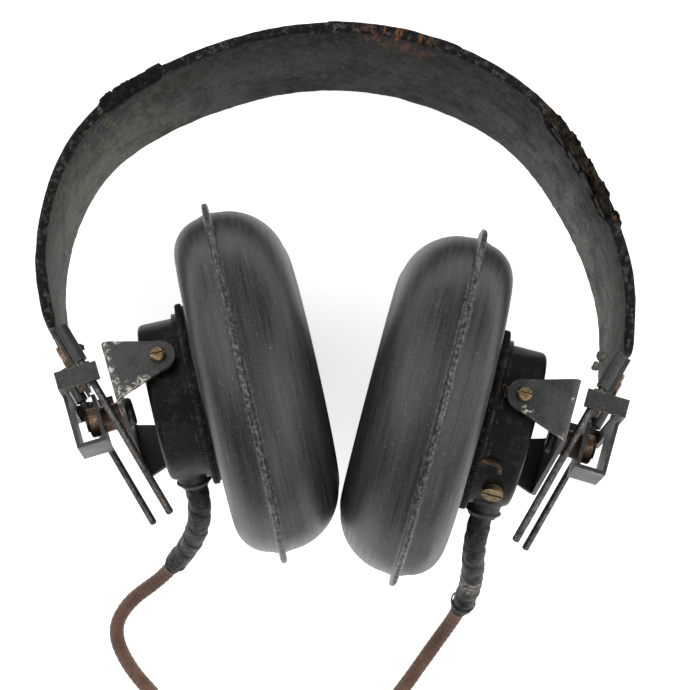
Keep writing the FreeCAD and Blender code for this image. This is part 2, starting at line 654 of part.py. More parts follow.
def export(nodes):
    os.makedirs("parts", exist_ok=True)
    for name, shape in nodes.items():
        if not shape.isValid() or shape.Volume <= 0:
            print("bad shape:", name, shape.isValid(), shape.Volume)
        shape.exportStep("parts/" + name + ".step")
    print(len(nodes), "nodes")


NODES = build()
export(NODES)
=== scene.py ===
import math
import random

import bmesh
import bpy
import numpy as np
from mathutils import Matrix, Vector, noise
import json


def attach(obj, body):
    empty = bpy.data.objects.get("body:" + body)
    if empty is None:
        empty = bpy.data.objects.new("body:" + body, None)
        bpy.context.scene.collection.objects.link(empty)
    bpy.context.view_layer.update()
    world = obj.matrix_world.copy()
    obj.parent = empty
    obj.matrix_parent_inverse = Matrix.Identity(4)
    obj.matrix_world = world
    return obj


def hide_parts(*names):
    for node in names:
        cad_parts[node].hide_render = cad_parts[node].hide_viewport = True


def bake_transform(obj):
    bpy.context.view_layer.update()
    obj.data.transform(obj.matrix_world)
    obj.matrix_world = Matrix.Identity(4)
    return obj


# Looks of the aviation headset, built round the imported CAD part.  Row frame, metres; sizes named
# in millimetres are multiplied by MM.

MM = 0.001
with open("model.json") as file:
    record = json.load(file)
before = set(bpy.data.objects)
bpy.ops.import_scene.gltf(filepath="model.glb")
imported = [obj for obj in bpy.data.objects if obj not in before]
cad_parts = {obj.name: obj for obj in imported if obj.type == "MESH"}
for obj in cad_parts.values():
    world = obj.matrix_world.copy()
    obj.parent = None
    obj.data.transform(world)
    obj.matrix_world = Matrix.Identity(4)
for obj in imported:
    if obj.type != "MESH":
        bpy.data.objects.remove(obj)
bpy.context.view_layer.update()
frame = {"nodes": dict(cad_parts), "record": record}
RANDOM = random.Random(7)

# ---- frames and routes carried over from the CAD part (millimetres) -------------------------------
SIDES = {
    "left": {
        "stud_at": (-62.777, -34.970, 58.119), "stud": (0.9545, 0.2839, -0.0914),
        "pivot_at": (-48.459, -30.711, 56.748), "pivot": (-0.0565, 0.4730, 0.8793),
        "cup": (0.9740, 0.2195, -0.0555), "seam": (-26.544, -25.773, 55.499), "gland_drop": 24.0,
        "route": [
            (-42.300, -56.481, 44.915), (-40.512, -65.442, 40.854), (-43.5, -74.8, 29.0),
            (-48.0, -81.5, 15.5), (-56.5, -91.5, 5.0), (-68.0, -99.5, 2.6), (-73.0, -109.0, 2.5),
            (-68.5, -120.5, 2.5), (-58.5, -132.0, 2.5), (-46.5, -144.5, 2.5),
            (-35.5, -157.0, 2.5), (-29.4, -170.0, 3.8), (-29.0, -182.0, 6.5),
        ],
    },
    "right": {
        "stud_at": (68.303, -43.031, 57.125), "stud": (-0.9576, 0.2839, -0.0480),
        "pivot_at": (53.939, -38.772, 56.404), "pivot": (0.0589, 0.3563, 0.9325),
        "cup": (-0.9671, 0.2519, -0.0352), "seam": (32.179, -33.104, 55.613), "gland_drop": 15.0,
        "route": [
            (46.166, -65.694, 48.868), (43.820, -75.064, 46.282), (44.5, -85.5, 34.0),
            (44.0, -95.0, 18.5), (39.5, -105.5, 6.5), (32.0, -116.5, 2.7), (23.0, -129.5, 2.5),
            (12.0, -142.0, 2.5), (-1.5, -153.0, 2.5), (-14.0, -162.0, 2.5), (-22.3, -171.5, 3.8),
            (-23.0, -182.0, 6.5),
        ],
    },
}
MAIN_ROUTE = [
    (-26.0, -204.0, 7.0), (-25.5, -214.5, 5.0), (-19.0, -226.0, 3.2), (-6.0, -233.5, 3.1),
    (10.0, -234.0, 3.1), (22.5, -228.5, 3.1),
]
TAIL_ROUTE = [(46.0, -228.0, 8.8), (55.0, -230.2, 8.6), (63.5, -231.0, 8.0), (72.0, -231.0, 7.6)]
COIL_CENTRE = (38.0, -186.0)
COIL_OUTER, COIL_INNER, COIL_PITCH = 39.0, 26.7, 6.15
BRANCH_DIAMETER, MAIN_DIAMETER, TAPE_DIAMETER = 4.8, 6.0, 7.8

BAND_LINE = [
    (-82.7, 13.2), (-86.6, 32.0), (-85.2, 52.0), (-79.4, 69.0), (-68.7, 83.3), (-51.0, 95.0),
    (-25.0, 105.4), (-2.0, 109.0), (21.0, 106.8), (44.0, 98.6), (61.5, 86.3), (74.0, 69.5),
    (83.2, 50.0), (88.3, 28.0), (87.1, 5.6),
]
BAND_TILT, BAND_ROLL, BAND_Y, BAND_Z = 13.8, 1.3, -28.0, 50.45
BAND_HALF_WIDTH, COVER_HALF = 25.0, 1.6
FORK_BACK, FORK_HALF_HEIGHT = -15.0, 28.6
FLANGE_RADIUS, FLANGE_BACK, FLANGE_FRONT = 27.6, 7.0, 9.0


# ---- material helper ---------------------------------------------------------------------------
class Shade:
    """A node material, with short ways to add the nodes it needs."""

    def __init__(self, name, uv=False):
        self.material = bpy.data.materials.new(name)
        self.material.use_nodes = True
        self.tree = self.material.node_tree
        self.shader = self.tree.nodes["Principled BSDF"]
        self.coordinates = self.tree.nodes.new("ShaderNodeTexCoord")
        self.place = self.coordinates.outputs["UV" if uv else "Object"]

    def add(self, kind, inputs, **settings):
        node = self.tree.nodes.new("ShaderNode" + kind)
        for key, value in settings.items():
            setattr(node, key, value)
        for key, value in inputs.items():
            if isinstance(value, bpy.types.NodeSocket):
                self.tree.links.new(value, node.inputs[key])
            else:
                node.inputs[key].default_value = value
        return node

    def stretch(self, x, y, z=1.0):
        return self.add("Mapping", {"Vector": self.place, "Scale": (x, y, z)}).outputs["Vector"]

    def noise_at(self, space, scale, detail=4.0, rough=0.6, distortion=0.0):
        """Noise in another space than the material's own."""
        return self.noise(scale, detail, rough, self.coordinates.outputs[space], distortion)

    def noise(self, scale, detail=4.0, rough=0.6, at=None, distortion=0.0):
        values = {"Vector": at or self.place, "Scale": scale, "Detail": detail, "Roughness": rough,
                  "Distortion": distortion}
        return self.add("TexNoise", values).outputs["Fac"]

    def step(self, value, low, high, start=0.0, end=1.0):
        values = {"Value": value, "From Min": low, "From Max": high, "To Min": start, "To Max": end}
        return self.add("MapRange", values, interpolation_type="SMOOTHSTEP").outputs["Result"]

    def calc(self, operation, a, b):
        node = self.add("Math", {0: a, 1: b}, operation=operation)
        return node.outputs["Value"]

    def away(self, value, centre):
        """How far a value is from the centre."""
        offset = self.calc("SUBTRACT", value, centre)
        return self.add("Math", {0: offset}, operation="ABSOLUTE").outputs[0]

    def mix(self, factor, a, b):
        a, b = [c if isinstance(c, bpy.types.NodeSocket) else (*c, 1.0) for c in (a, b)]
        return self.add("Mix", {0: factor, 6: a, 7: b}, data_type="RGBA").outputs[2]

    def spot(self, centre, radius):
        """1 inside a ball round a point of the row frame, falling to 0 at its edge."""
        node = self.add("VectorMath", {0: self.place, 1: centre}, operation="DISTANCE")
        return self.step(node.outputs["Value"], radius * 0.45, radius, 1.0, 0.0)

    def edges(self, radius):
        """1 along sharp edges of the solid, 0 on its flats."""
        soft = self.add("Bevel", {"Radius": radius}, samples=6).outputs["Normal"]
        sharp = self.tree.nodes.new("ShaderNodeNewGeometry").outputs["Normal"]
        dot = self.add("VectorMath", {0: soft, 1: sharp}, operation="DOT_PRODUCT").outputs["Value"]
        return self.step(dot, 0.995, 0.86)

    def separate(self):
        return self.add("SeparateXYZ", {"Vector": self.place}).outputs

    def bump(self, height, distance, strength=0.6, normal=None):
        values = {"Height": height, "Distance": distance, "Strength": strength}
        if normal:
            values["Normal"] = normal
        return self.add("Bump", values).outputs["Normal"]

    def finish(self, color, roughness, metallic=0.0, normal=None, **constants):
        values = {"Base Color": color, "Roughness": roughness, "Metallic": metallic}
        if normal:
            values["Normal"] = normal
        for key, value in values.items():
            socket = self.shader.inputs[key]
            if isinstance(value, bpy.types.NodeSocket):
                self.tree.links.new(value, socket)
            else:
                socket.default_value = (*value, 1.0) if isinstance(value, tuple) else value
        for key, value in constants.items():
            self.shader.inputs[key.replace("_", " ")].default_value = value
        return self.material


# ---- metals ------------------------------------------------------------------------------------
RUST = (0.16, 0.052, 0.018)
CREAM = (0.58, 0.54, 0.45)


def painted(name, color, chips=(), chip_color=CREAM, rough=0.42, wear=0.5, shine=0.45):
    """Old satin paint: dust, worn edges, and chips near the given points."""
    m = Shade(name)
    broad = m.noise(90.0, 5.0, 0.65)
    fine = m.noise(900.0, 6.0, 0.7)
    grit = m.noise(2300.0, 3.0, 0.6)
    paint = m.mix(m.step(broad, 0.42, 0.60), tuple(c * 0.70 for c in color),
                  tuple(c * 1.55 for c in color))
    paint = m.mix(m.step(grit, 0.40, 0.60, 0.0, 0.45), paint, tuple(c * 0.35 for c in color))
    paint = m.mix(m.step(fine, 0.53, 0.62, 0.0, 0.30), paint, tuple(c * 3.2 for c in color))
    paint = m.mix(m.step(grit, 0.64, 0.70, 0.0, 0.55), paint, (0.12, 0.11, 0.09))
    edge = m.edges(0.0005)
    worn = m.calc("MULTIPLY", edge, m.step(m.noise(420.0, 5.0, 0.7), 0.56 - 0.14 * wear, 0.64))
    paint = m.mix(worn, paint, (0.19, 0.165, 0.135))
    grime = m.calc("MULTIPLY", m.step(m.noise(210.0, 6.0, 0.75), 0.53, 0.61), 0.45 * wear)
    paint = m.mix(grime, paint, (0.060, 0.052, 0.032))
    chipped = None
    for centre, radius in chips:
        spot = m.spot(Vector(centre) * MM, radius * MM)
        chipped = spot if chipped is None else m.calc("MAXIMUM", chipped, spot)
    if chipped is not None:
        flakes = m.calc("ADD", m.noise(620.0, 6.0, 0.75), m.calc("MULTIPLY", edge, 0.10))
        chipped = m.calc("MULTIPLY", chipped, m.step(flakes, 0.50, 0.56))
        paint = m.mix(chipped, paint, chip_color)
    rough_now = m.step(broad, 0.2, 0.8, rough - 0.07, rough + 0.16)
    height = m.calc("ADD", m.calc("MULTIPLY", fine, 0.5), m.noise(330.0, 4.0, 0.6))
    return m.finish(paint, rough_now, 0.0, m.bump(height, 0.00018, 0.55), Specular_IOR_Level=shine)


def bare_metal(name, color, tarnish, amount, rough=0.38, rust=0.0, scale=300.0):
    """Old bare metal: dulled, tarnished in patches, and rusted where it says so."""
    m = Shade(name)
    patches = m.noise(scale, 6.0, 0.72, distortion=0.4)
    fine = m.noise(1500.0, 5.0, 0.7)
    metal = m.mix(m.step(patches, 0.66 - amount * 0.4, 0.74), color, tarnish)
    metal = m.mix(m.step(fine, 0.5, 0.62, 0.0, 0.5), metal, tuple(c * 0.4 for c in color))
    metal = m.mix(m.step(fine, 0.44, 0.38, 0.0, 0.6), metal, tuple(min(c * 3.0, 0.7) for c in color))
    rusted = m.step(m.noise(scale * 0.7, 7.0, 0.78), 0.62 - rust * 0.35, 0.70)
    if rust:
        metal = m.mix(rusted, metal, m.mix(fine, RUST, (0.27, 0.10, 0.035)))
    roughness = m.step(patches, 0.3, 0.75, rough - 0.05, rough + 0.32)
    shiny = m.step(rusted, 0.2, 0.8, 0.92, 0.25) if rust else m.step(patches, 0.45, 0.8, 1.0, 0.65)
    height = m.calc("ADD", patches, m.calc("MULTIPLY", fine, 0.45))
    return m.finish(metal, roughness, shiny, m.bump(height, 0.0002, 0.7))


# ---- soft materials ----------------------------------------------------------------------------
def rubber():
    """Moulded black rubber with mould streaks round it; U runs round the ring, V across its section."""
    m = Shade("rubber", uv=True)
    _, v, _ = m.separate()
    streaks = m.noise(1.0, 3.0, 0.6, at=m.stretch(9.0, 330.0))
    wide = m.noise(1.0, 2.0, 0.5, at=m.stretch(5.0, 48.0))
    scratches = m.noise(1.0, 4.0, 0.7, at=m.stretch(16.0, 1100.0))
    body = m.mix(m.step(streaks, 0.42, 0.60), (0.0075, 0.0082, 0.0092), (0.0235, 0.0250, 0.0270))
    body = m.mix(m.step(wide, 0.42, 0.64, 0.0, 0.55), body, (0.040, 0.042, 0.044))
    body = m.mix(m.step(scratches, 0.56, 0.66, 0.0, 0.55), body, (0.100, 0.102, 0.106))
    grain = m.noise_at("Object", 2000.0, 3.0, 0.7)
    body = m.mix(m.step(grain, 0.52, 0.62, 0.0, 0.35), body, (0.075, 0.077, 0.080))
    specks = m.step(m.noise_at("Object", 1100.0, 3.0, 0.6), 0.645, 0.70, 0.0, 0.50)
    body = m.mix(specks, body, (0.17, 0.165, 0.15))
    dust = m.calc("MULTIPLY", m.noise_at("Object", 160.0, 6.0, 0.75), m.noise_at("Object", 11.0, 3.0, 0.6))
    body = m.mix(m.step(dust, 0.28, 0.42, 0.0, 0.40), body, (0.070, 0.068, 0.062))
    # the seam is dusty and paler
    near_seam = m.step(m.away(v, 0.5), 0.012, 0.022, 1.0, 0.0)
    gritty = m.noise_at("Object", 850.0, 4.0, 0.75)
    body = m.mix(near_seam, body, (0.014, 0.0145, 0.0145))
    dusty = m.calc("MULTIPLY", near_seam, m.step(gritty, 0.48, 0.58, 0.0, 0.70))
    body = m.mix(dusty, body, (0.150, 0.142, 0.122))
    rough = m.step(streaks, 0.3, 0.75, 0.34, 0.46)
    height = m.calc("ADD", m.calc("MULTIPLY", streaks, 0.6), m.calc("MULTIPLY", wide, 1.4))
    height = m.calc("ADD", height, m.calc("MULTIPLY", gritty, 0.20))
    return m.finish(body, rough, 0.0, m.bump(height, 0.00024, 0.45), Specular_IOR_Level=0.42)


def leather():
    """Worn dark leather; U runs along the band from its left end, V up the inside and down the outside.
    The torn attribute is 1 where the lining is gone and -1 where a fold lies over it."""
    m = Shade("leather", uv=True)
    u, v, _ = m.separate()
    grain = m.noise_at("Object", 900.0, 5.0, 0.7)
    broad = m.noise(1.0, 5.0, 0.7, m.stretch(22.0, 2.4), 0.5)
    blotch = m.noise(1.0, 7.0, 0.82, m.stretch(64.0, 4.6), 0.25)
    fine = m.noise_at("Object", 520.0, 6.0, 0.8)
    torn = m.add("Attribute", {}, attribute_name="torn", attribute_type="GEOMETRY").outputs["Fac"]
    body = m.mix(m.step(broad, 0.42, 0.60), (0.0042, 0.0045, 0.0046), (0.0165, 0.0170, 0.0165))
    # painted light: the lower half of the inside is painted a paler grey where light falls on it, most of
    # all towards the ends
    ends = m.calc("MAXIMUM", m.step(u, 0.46, 0.08, 0.14, 1.0), m.step(u, 0.58, 0.94, 0.14, 0.9))
    painted_light_lower_inside = m.calc("MULTIPLY", m.step(v, 0.90, 0.35), m.step(broad, 0.36, 0.58, 0.25, 1.0))
    body = m.mix(m.calc("MULTIPLY", painted_light_lower_inside, ends), body, (0.175, 0.172, 0.150))
    olive = m.calc("MAXIMUM", m.step(u, 0.46, 0.20), m.step(u, 0.84, 0.97, 0.0, 0.6))
    olive = m.calc("MULTIPLY", olive, m.step(blotch, 0.48, 0.58))
    olive = m.calc("MULTIPLY", olive, m.step(v, 0.98, 0.84))
    body = m.mix(m.calc("MULTIPLY", olive, 0.55), body, (0.150, 0.142, 0.085))
    body = m.mix(m.step(fine, 0.53, 0.62, 0.0, 0.35), body, (0.12, 0.118, 0.10))
    body = m.mix(m.step(grain, 0.47, 0.40, 0.0, 0.5), body, (0.0060, 0.0062, 0.0060))
    scuffed = m.mix(m.step(fine, 0.50, 0.60), (0.0085, 0.0088, 0.0088), (0.075, 0.072, 0.064))
    body = m.mix(m.step(v, 0.965, 0.985, 0.0, 0.75), body, scuffed)
    body = m.mix(m.step(blotch, 0.47, 0.40, 0.0, 0.65), body, (0.0060, 0.0062, 0.0060))
    crown = m.calc("MULTIPLY", m.step(m.away(u, 0.560), 0.050, 0.015), m.step(v, 0.74, 0.88))
    crown = m.calc("MULTIPLY", crown, m.step(v, 1.25, 1.08))
    rusty = m.calc("MULTIPLY", crown, m.step(blotch, 0.50, 0.56))
    body = m.mix(m.calc("MULTIPLY", rusty, 0.8), body, (0.20, 0.075, 0.028))
    inside = m.mix(m.step(fine, 0.47, 0.56), (0.0060, 0.0052, 0.0045), (0.042, 0.030, 0.017))
    inside = m.mix(m.step(blotch, 0.55, 0.60, 0.0, 0.75), inside, (0.15, 0.062, 0.024))
    body = m.mix(m.step(torn, 0.30, 0.60), body, inside)
    fold = m.mix(m.step(fine, 0.50, 0.62), (0.0050, 0.0050, 0.0050), (0.022, 0.0215, 0.020))
    body = m.mix(m.step(torn, -0.30, -0.60), body, fold)
    rough = m.step(blotch, 0.3, 0.75, 0.44, 0.70)
    height = m.calc("ADD", m.calc("MULTIPLY", grain, 0.6), m.calc("MULTIPLY", blotch, 1.2))
    return m.finish(body, rough, 0.0, m.bump(height, 0.0005, 0.6), Specular_IOR_Level=0.06)


def cloth_tape():
    """Black cloth tape, creased, with one rubbed place."""
    m = Shade("cloth_tape")
    weave = m.noise(2600.0, 3.0, 0.6)
    crease = m.noise(420.0, 6.0, 0.75, distortion=0.5)
    body = m.mix(m.step(crease, 0.42, 0.60), (0.0036, 0.0038, 0.0038), (0.0240, 0.0232, 0.0205))
    worn = m.spot(Vector((44.2, -90.5, 29.0)) * MM, 6.0 * MM)
    worn = m.calc("MULTIPLY", worn, m.step(m.noise(700.0, 6.0, 0.8), 0.46, 0.60))
    body = m.mix(m.calc("MULTIPLY", worn, 0.75), body, (0.36, 0.34, 0.29))
    body = m.mix(m.step(m.noise(1100.0, 6.0, 0.8), 0.54, 0.62, 0.0, 0.4), body, (0.10, 0.095, 0.08))
    height = m.calc("ADD", crease, m.calc("MULTIPLY", weave, 0.25))
    return m.finish(body, m.step(crease, 0.3, 0.7, 0.62, 0.42), 0.0, m.bump(height, 0.0005, 0.7),
                    Specular_IOR_Level=0.25)


def cotton_braid():
    """Brown cotton braid, faded and soiled in places."""
    m = Shade("cotton_braid")
    broad = m.noise(95.0, 5.0, 0.7)
    fibre = m.noise(2400.0, 5.0, 0.75)
    body = m.mix(m.step(broad, 0.35, 0.68), (0.078, 0.040, 0.026), (0.155, 0.088, 0.058))
    body = m.mix(m.step(fibre, 0.45, 0.70, 0.0, 0.60), body, (0.24, 0.155, 0.110))
    body = m.mix(m.step(m.noise(260.0, 6.0, 0.8), 0.58, 0.70, 0.0, 0.7), body, (0.034, 0.020, 0.014))
    return m.finish(body, 0.86, 0.0, m.bump(fibre, 0.00035, 0.7), Sheen_Weight=0.25,
                    Specular_IOR_Level=0.2)


def plain_dark(name, color, rough):
    """Dark moulded or lacquered stuff, a little uneven."""
    m = Shade(name)
    broad = m.noise(260.0, 5.0, 0.7)
    body = m.mix(m.step(broad, 0.4, 0.7), tuple(c * 0.7 for c in color), tuple(c * 1.7 for c in color))
    return m.finish(body, m.step(broad, 0.3, 0.7, rough - 0.06, rough + 0.12), 0.0,
                    m.bump(broad, 0.0002, 0.5))


def floor_material():
    m = Shade("floor")
    tone = m.mix(m.noise(3.0, 2.0, 0.5), (0.93, 0.93, 0.93), (0.95, 0.95, 0.95))
    m.tree.links.new(tone, m.shader.inputs["Emission Color"])
    return m.finish(tone, 0.9, Emission_Strength=0.72)


# ---- geometry helpers --------------------------------------------------------------------------
def make_mesh(name, points, faces, material, uvs=None, closed=True):
    """A smooth mesh object in the row frame; uvs gives one (u, v) per face corner."""
    mesh = bpy.data.meshes.new(name)
    mesh.from_pydata([tuple(p) for p in points], [], faces)
    if uvs is not None:
        layer = mesh.uv_layers.new(name="UVMap")
        layer.data.foreach_set("uv", np.array(uvs, np.float32).ravel())
    mesh.polygons.foreach_set("use_smooth", [True] * len(mesh.polygons))
    if closed:
        work = bmesh.new()
        work.from_mesh(mesh)
        bmesh.ops.recalc_face_normals(work, faces=work.faces)
        work.to_mesh(mesh)
        work.free()
    mesh.materials.append(material)
    thing = bpy.data.objects.new(name, mesh)
    bpy.context.scene.collection.objects.link(thing)
    return thing


def grid(rows, columns, wrap_rows=False, wrap_columns=True):
    """Faces of a grid of points, and the (row, column) of every corner, not wrapped."""
    faces, corners = [], []
    for i in range(rows if wrap_rows else rows - 1):
        for j in range(columns if wrap_columns else columns - 1):
            square = [(i, j), (i + 1, j), (i + 1, j + 1), (i, j + 1)]
            faces.append([(a % rows) * columns + b % columns for a, b in square])
            corners.extend(square)
    return faces, corners


def basis(x_axis, z_axis, flip):
    """Rows x, y, z of a frame; flip gives the mirrored side its own y."""
    x, z = Vector(x_axis).normalized(), Vector(z_axis).normalized()
    y = z.cross(x).normalized()
    return np.array([x, -y if flip else y, z])


def arc(start, through, end, count):
    """Points of the circular arc from start through a middle point to the end, without the start."""
    (ax, ay), (bx, by), (cx, cy) = start, through, end
    d = 2 * (ax * (by - cy) + bx * (cy - ay) + cx * (ay - by))
    a, b, c = ax * ax + ay * ay, bx * bx + by * by, cx * cx + cy * cy
    x = (a * (by - cy) + b * (cy - ay) + c * (ay - by)) / d
    y = (a * (cx - bx) + b * (ax - cx) + c * (bx - ax)) / d
    radius = math.hypot(ax - x, ay - y)
    first, middle, last = [math.atan2(q - y, p - x) for p, q in (start, through, end)]
    turn = (last - first + math.pi) % (2 * math.pi) - math.pi
    if not 0 < ((middle - first + math.pi) % (2 * math.pi) - math.pi) / turn < 1:
        turn -= math.copysign(2 * math.pi, turn)
    angles = [first + turn * k / count for k in range(1, count + 1)]
    return [(x + radius * math.cos(angle), y + radius * math.sin(angle)) for angle in angles]


def line_points(start, end, count):
    """Points along the straight line from start to end, without the start."""
    return [(start[0] + (end[0] - start[0]) * k / count, start[1] + (end[1] - start[1]) * k / count)
            for k in range(1, count + 1)]


def lathe(name, profile, turns, origin, axes, material, wobble=None, closed=True, v_of=None):
    """Turns (x, radius) points round the frame's x axis; wobble adds to x and radius at each point."""
    count = len(profile)
    points = []
    for j in range(turns):
        angle = 2 * math.pi * j / turns
        for i, (x, radius) in enumerate(profile):
            dx, dr = wobble(i, angle) if wobble else (0.0, 0.0)
            local = np.array([x + dx, (radius + dr) * math.cos(angle), (radius + dr) * math.sin(angle)])
            points.append((np.array(origin) + local @ axes) * MM)
    faces, corners = grid(turns, count, True, closed)
    along = v_of or [i / (count - 1) for i in range(count)]
    along = list(along) + [along[-1]]
    uvs = [(a / turns, along[b]) for a, b in corners]
    return make_mesh(name, points, faces, material, uvs, closed)


def curve_points(corners, step):
    """Points, step apart, along the NURBS curve that follows the corners; millimetres."""
    data = bpy.data.curves.new("route", "CURVE")
    data.dimensions = "3D"
    spline = data.splines.new("NURBS")
    spline.points.add(len(corners) - 1)
    for point, corner in zip(spline.points, corners):
        point.co = (*[c * MM for c in corner], 1.0)
    spline.order_u = 3
    spline.use_endpoint_u = True
    data.resolution_u = 24
    holder = bpy.data.objects.new("route", data)
    mesh = bpy.data.meshes.new_from_object(holder)
    dense = np.array([v.co for v in mesh.vertices]) / MM
    bpy.data.meshes.remove(mesh)
    bpy.data.objects.remove(holder)
    bpy.data.curves.remove(data)
    return resample(dense, step)


def resample(points, step):
    """The same line with its points about a step apart."""
    points = np.array(points, float)
    lengths = np.concatenate([[0], np.cumsum(np.linalg.norm(np.diff(points, axis=0), axis=1))])
    count = max(2, int(round(lengths[-1] / step)) + 1)
    at = np.linspace(0, lengths[-1], count)
    return np.stack([np.interp(at, lengths, points[:, k]) for k in range(3)], axis=1)


def line_length(points):
    return float(np.linalg.norm(np.diff(points, axis=0), axis=1).sum())


def tube(name, line, radius, sides, material, start_at=0.0):
    """A closed tube along the line; radius is a function of distance and angle, in millimetres."""
    line = np.array(line)
    tangents = np.gradient(line, axis=0)
    tangents /= np.linalg.norm(tangents, axis=1)[:, None]
    side = np.cross(tangents[0], [0, 0, 1.0])
    if np.linalg.norm(side) < 0.1:
        side = np.cross(tangents[0], [0, 1.0, 0])
    distance, points = start_at, []
    for k, (centre, tangent) in enumerate(zip(line, tangents)):
        if k:
            distance += np.linalg.norm(centre - line[k - 1])
        side = side - tangent * side.dot(tangent)
        side /= np.linalg.norm(side)
        other = np.cross(tangent, side)
        for j in range(sides):
            angle = 2 * math.pi * j / sides
            r = radius(distance, angle)
            points.append((centre + (side * math.cos(angle) + other * math.sin(angle)) * r) * MM)
    faces, corners = grid(len(line), sides)
    uvs = [(a * 0.01, b / sides) for a, b in corners]
    rows = len(line)
    points.extend([line[0] * MM, line[-1] * MM])
    for j in range(sides):
        nxt = (j + 1) % sides
        faces.append([rows * sides, j, nxt])
        faces.append([rows * sides + 1, (rows - 1) * sides + nxt, (rows - 1) * sides + j])
        uvs.extend([(0.0, 0.0)] * 6)
    return make_mesh(name, points, faces, material, uvs)


def rough_noise(x, y, z, scale):
    """Smooth noise from -1 to 1 at a place, in millimetres, with features about 1/scale across."""
    return noise.noise(Vector((x * scale, y * scale, z * scale)))


# ---- headband ----------------------------------------------------------------------------------
HEAD_TURN = (Matrix.Rotation(math.radians(BAND_ROLL), 3, "Y")
             @ Matrix.Rotation(-math.radians(BAND_TILT), 3, "X"))
# distances along the band from its left end, millimetres
FOLD_FROM, FOLD_TO = 73, 95
TORN_FROM, TORN_TO = 222, 263
LAP_FROM, LAP_TO = 148, 190
FLAT_POINTS = 61            # across each face of the leather


def head_point(x, y, w):
    """A point of the headband's frame (x, along, across the width) in the row frame, millimetres."""
    return np.array(HEAD_TURN @ Vector((x, y, w))) + np.array([0, BAND_Y, BAND_Z])


def band_centre_line(step):
    """Points along the band and the outward direction at each, in the headband's own plane."""
    known = np.array(BAND_LINE)
    gaps = np.linalg.norm(np.diff(known, axis=0), axis=1)
    at = np.concatenate([[0], np.cumsum(gaps)])
    fine = np.linspace(0, at[-1], int(at[-1] / step) + 1)
    columns = [natural_spline(at, known[:, k], fine) for k in (0, 1)]
    line = np.stack(columns, axis=1)
    tangent = np.gradient(line, axis=0)
    tangent /= np.linalg.norm(tangent, axis=1)[:, None]
    outward = np.stack([-tangent[:, 1], tangent[:, 0]], axis=1)
    return fine, line, outward


def natural_spline(at, values, fine):
    """Values at the fine places of the smooth curve through the known ones, straight at its ends."""
    count = len(at)
    h = np.diff(at)
    matrix, right = np.eye(count), np.zeros(count)
    for i in range(1, count - 1):
        matrix[i, i - 1:i + 2] = [h[i - 1], 2 * (h[i - 1] + h[i]), h[i]]
        right[i] = 6 * ((values[i + 1] - values[i]) / h[i] - (values[i] - values[i - 1]) / h[i - 1])
    bend = np.linalg.solve(matrix, right)
    k = np.clip(np.searchsorted(at, fine) - 1, 0, count - 2)
    left, ahead = fine - at[k], at[k + 1] - fine
    return ((bend[k] * ahead ** 3 + bend[k + 1] * left ** 3) / (6 * h[k])
            + (values[k] / h[k] - bend[k] * h[k] / 6) * ahead
            + (values[k + 1] / h[k] - bend[k + 1] * h[k] / 6) * left)


def bump_window(s, low, high, soft=6.0):
    """1 between low and high along the band, easing to 0 outside."""
    return min(max((s - low) / soft, 0.0), 1.0) * min(max((high - s) / soft, 0.0), 1.0)


def band_section():
    """(across, thickness) points round the leather's section, outer face first."""
    half, thick, edge = BAND_HALF_WIDTH, COVER_HALF, 1.3
    span = 2 * half - 2 * edge
    flat = [-half + edge + span * k / (FLAT_POINTS - 1) for k in range(FLAT_POINTS)]
    turns = (0.4, 0.8, 1.2)
    side = [(half - edge + edge * math.sin(a), thick - edge + edge * math.cos(a)) for a in turns]
    upper = side + [(half, 0.0)] + [(w, -t) for w, t in reversed(side)]
    lower = [(-w, -t) for w, t in upper]
    return [(w, thick) for w in flat] + upper + [(w, -thick) for w in reversed(flat)] + lower


def torn_amount(s, w):
    """Where the lining has torn away below the upper edge (1), or a fold covers it (-1)."""
    torn = bump_window(s, TORN_FROM, TORN_TO, 5.0)
    if torn:
        depth = 5.2 + 3.4 * rough_noise(s, 1, 2, 0.11) + 1.7 * rough_noise(s, 7, 2, 0.45)
        return min(max((w - BAND_HALF_WIDTH + depth * torn) / 0.8, 0.0), 1.0)
    folded = bump_window(s, FOLD_FROM, FOLD_TO, 2.2)
    if folded:
        depth = 4.6 + 1.6 * rough_noise(s, 3, 9, 0.2) + 0.8 * rough_noise(s, 5, 9, 0.7)
        return -min(max((w - BAND_HALF_WIDTH + depth * folded) / 0.7, 0.0), 1.0)
    return 0.0


